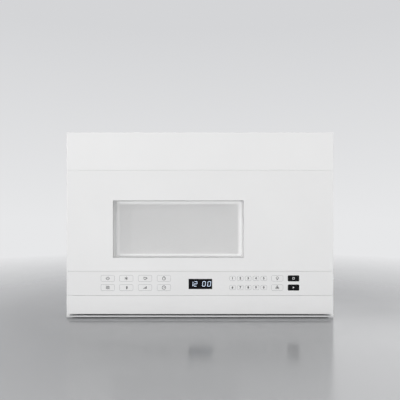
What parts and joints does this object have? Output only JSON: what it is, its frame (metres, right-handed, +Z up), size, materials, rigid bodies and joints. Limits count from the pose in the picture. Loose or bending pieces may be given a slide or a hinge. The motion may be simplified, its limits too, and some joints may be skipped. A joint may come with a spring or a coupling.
{
  "type": "over the range microwave oven",
  "caption": "Over the range microwave oven: side hinged door with window and touch strip, turntable cavity, vent blower, grease filters and cooktop light, hung from a wall and a cabinet.",
  "frame": {"origin": "middle of the case's footprint at the level of its underside", "axes": "+Z up, -Y to the front with the door, +X to the right seen from the front"},
  "size_m": [0.606, 0.397, 0.422],
  "materials": {
    "white_steel": "gloss white enamel",
    "zinc_steel": "zinc plated steel",
    "hinge_steel": "plated steel",
    "grille_plastic": "satin white moulding",
    "door_plastic": "satin white moulding",
    "strip_plastic": "satin white moulding",
    "cavity_enamel": "light grey enamel",
    "guard_steel": "perforated, enamelled",
    "mica": "mica sheet",
    "screen_steel": "perforated, enamelled light grey",
    "choke_steel": "enamelled steel",
    "choke_plastic": "fine texture",
    "window_glass": "clear",
    "tray_glass": "clear, lightly stippled",
    "lens": "frosted",
    "display_black": "gloss black",
    "circuit_board": "green laminate",
    "latch_plastic": "natural nylon",
    "switch_black": "phenolic",
    "spring_steel": "spring steel",
    "bush_nylon": "nylon",
    "roller_nylon": "satin white",
    "motor_steel": "plated steel",
    "shaft_steel": "ground steel",
    "wheel_plastic": "moulded, dark grey",
    "filter_aluminium": "expanded mesh in a folded frame",
    "charcoal": "granules behind mesh",
    "magnetron_metal": "plated",
    "core_steel": "varnished laminations",
    "windings": "enamelled copper under tape",
    "can_aluminium": "oil filled can",
    "lamp_parts": "ceramic holder and bulb"
  },
  "bodies": {
    "cabinet": {"outer_wrap": "white_steel", "back_plate": "zinc_steel", "base_plate": "zinc_steel", "front_frame": "white_steel", "vent_grille": "grille_plastic", "charcoal_filter": "charcoal", "cabinet_nuts": "zinc_steel", "case_screws": "hinge_steel", "oven_cavity": "cavity_enamel", "lamp_guard": "guard_steel", "waveguide_cover": "mica", "waveguide": "zinc_steel", "magnetron": "magnetron_metal", "transformer_core": "core_steel", "transformer_windings": "windings", "capacitor": "can_aluminium", "capacitor_clamp": "zinc_steel", "power_board": "circuit_board", "cavity_lamp": "lamp_parts", "turntable_motor": "motor_steel", "cooktop_light": "lamp_parts", "light_lens": "lens", "upper_hinge": "hinge_steel", "lower_hinge": "hinge_steel", "hinge_screws": "zinc_steel", "latch_board": "latch_plastic", "interlock_switches": "switch_black", "blower_housing": "zinc_steel", "blower_motor": "motor_steel", "fan_shroud": "zinc_steel", "fan_motor": "motor_steel"},
    "door": {"door_frame": "door_plastic", "window_panel": "door_plastic", "control_strip": "strip_plastic", "grip_strip": "strip_plastic", "window_glass": "window_glass", "door_screen": "screen_steel", "choke_frame": "choke_steel", "choke_cover": "choke_plastic", "inner_pane": "window_glass", "door_rear_cover": "choke_plastic", "latch_spring": "spring_steel", "display_lens": "display_black", "display_module": "display_black", "touch_board": "circuit_board", "hinge_bushes": "bush_nylon"},
    "latch_hooks": {"latch_hooks": "latch_plastic"},
    "switch_plungers": {"switch_plungers": "latch_plastic"},
    "turntable": {"drive_coupler": "roller_nylon"},
    "tray": {"glass_tray": "tray_glass"},
    "roller_guide": {"roller_guide": "roller_nylon"},
    "roller_1": {"roller_1": "roller_nylon"},
    "roller_2": {"roller_2": "roller_nylon"},
    "roller_3": {"roller_3": "roller_nylon"},
    "blower_rotor": {"blower_wheels": "wheel_plastic", "blower_shaft": "shaft_steel"},
    "cooling_fan": {"cooling_fan": "wheel_plastic"},
    "filter_left": {"grease_filter_left": "filter_aluminium"},
    "filter_right": {"grease_filter_right": "filter_aluminium"}
  },
  "joints": [
    {"name": "door_hinge", "type": "hinge", "parent": "cabinet", "child": "door", "pos_m": [-0.292, -0.1785, 0], "axis": [0, 0, -1], "range_deg": [0, 105]},
    {"name": "latch_slide", "type": "slide", "parent": "door", "child": "latch_hooks", "axis": [0, 0, 1], "range_m": [0, 0.004], "stiffness_N_per_m": 600, "springref_m": -0.004, "deforming": ["latch_spring"]},
    {"name": "switch_travel", "type": "slide", "parent": "cabinet", "child": "switch_plungers", "axis": [0, -1, 0], "range_m": [0, 0.0016]},
    {"name": "turntable_spin", "type": "hinge", "parent": "cabinet", "child": "turntable", "pos_m": [-0.046, 0.009, 0.06], "axis": [0, 0, 1], "continuous": true},
    {"name": "tray_lift", "type": "slide", "parent": "turntable", "child": "tray", "axis": [0, 0, 1], "range_m": [0, 0.035]},
    {"name": "roller_guide_spin", "type": "hinge", "parent": "cabinet", "child": "roller_guide", "pos_m": [-0.046, 0.009, 0.0657], "axis": [0, 0, 1], "continuous": true},
    {"name": "roller_1_spin", "type": "hinge", "parent": "roller_guide", "child": "roller_1", "pos_m": [-0.046, 0.114, 0.0657], "axis": [0, 1, 0], "continuous": true},
    {"name": "roller_2_spin", "type": "hinge", "parent": "roller_guide", "child": "roller_2", "pos_m": [-0.13693, -0.0435, 0.0657], "axis": [-0.866, -0.5, 0], "continuous": true},
    {"name": "roller_3_spin", "type": "hinge", "parent": "roller_guide", "child": "roller_3", "pos_m": [0.04493, -0.0435, 0.0657], "axis": [0.866, -0.5, 0], "continuous": true},
    {"name": "blower_spin", "type": "hinge", "parent": "cabinet", "child": "blower_rotor", "pos_m": [0, 0.1225, 0.372], "axis": [1, 0, 0], "continuous": true},
    {"name": "fan_spin", "type": "hinge", "parent": "cabinet", "child": "cooling_fan", "pos_m": [0.2335, 0.098, 0.254], "axis": [0, -1, 0], "continuous": true},
    {"name": "filter_left_drop", "type": "slide", "parent": "cabinet", "child": "filter_left", "axis": [0, 0, -1], "range_m": [0, 0.05]},
    {"name": "filter_right_drop", "type": "slide", "parent": "cabinet", "child": "filter_right", "axis": [0, 0, -1], "range_m": [0, 0.05]}
  ],
  "couplings": [
    {"joint": "switch_travel", "follows": "door_hinge", "m_per_rad": 0.000818},
    {"joint": "roller_guide_spin", "follows": "turntable_spin", "ratio": 0.5},
    {"joint": "roller_1_spin", "follows": "turntable_spin", "ratio": -7},
    {"joint": "roller_2_spin", "follows": "turntable_spin", "ratio": -7},
    {"joint": "roller_3_spin", "follows": "turntable_spin", "ratio": -7}
  ]
}
